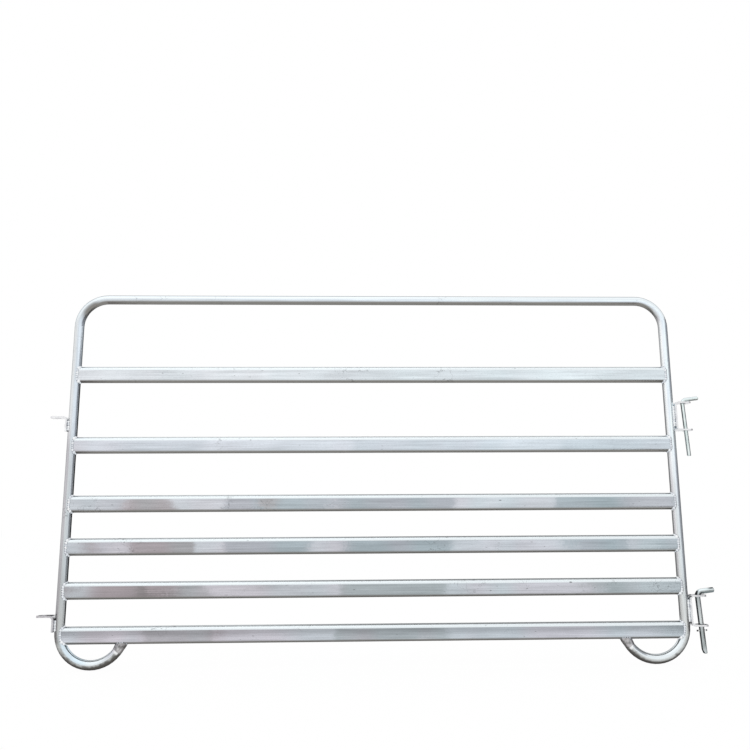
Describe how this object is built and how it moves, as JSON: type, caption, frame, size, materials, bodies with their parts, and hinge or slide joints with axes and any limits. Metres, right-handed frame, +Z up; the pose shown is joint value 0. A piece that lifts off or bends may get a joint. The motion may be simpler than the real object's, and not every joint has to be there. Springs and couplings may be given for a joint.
{
  "type": "sheep panel",
  "caption": "Galvanised sheep panel: flat-oval rails in a bent round-tube frame with ski feet, eye plates at one end and drop-pin brackets at the other.",
  "frame": {"origin": "on the ground, midway between the two uprights and in the middle of the panel's depth", "axes": "+X along the panel towards the brackets with the drop pins, +Y through the panel away from the pictured side, +Z up"},
  "size_m": [2.3924, 0.04, 1.3397],
  "materials": {
    "galvanised_tube": "hot-dip galvanised, pale and cloudy",
    "galvanised_plate": "hot-dip galvanised, thick and slightly rough",
    "zinc_plated_pin": "bright zinc plate",
    "spring_steel_pin": "dull zinc plate over rolled spring steel",
    "weld_bead": "lumpy weld under hot-dip galvanising"
  },
  "bodies": {
    "panel": {"frame_tube": "galvanised_tube", "rail_1": "galvanised_tube", "rail_2": "galvanised_tube", "rail_3": "galvanised_tube", "rail_4": "galvanised_tube", "rail_5": "galvanised_tube", "rail_6": "galvanised_tube", "rail_1_welds": "weld_bead", "rail_2_welds": "weld_bead", "rail_3_welds": "weld_bead", "rail_4_welds": "weld_bead", "rail_5_welds": "weld_bead", "rail_6_welds": "weld_bead", "ski_welds": "weld_bead", "upper_eye": "galvanised_plate", "lower_eye": "galvanised_plate", "eye_welds": "weld_bead", "upper_bracket": "galvanised_plate", "lower_bracket": "galvanised_plate", "bracket_welds": "weld_bead"},
    "upper_pin": {"upper_drop_pin": "zinc_plated_pin"},
    "lower_pin": {"lower_drop_pin": "zinc_plated_pin", "cross_pin": "spring_steel_pin"}
  },
  "joints": [
    {"name": "upper_pin_lift", "type": "slide", "parent": "panel", "child": "upper_pin", "axis": [-0.0527, 0, 0.9986], "range_m": [0, 0.205]},
    {"name": "lower_pin_lift", "type": "slide", "parent": "panel", "child": "lower_pin", "axis": [-0.0527, 0, 0.9986], "range_m": [0, 0.205]}
  ]
}
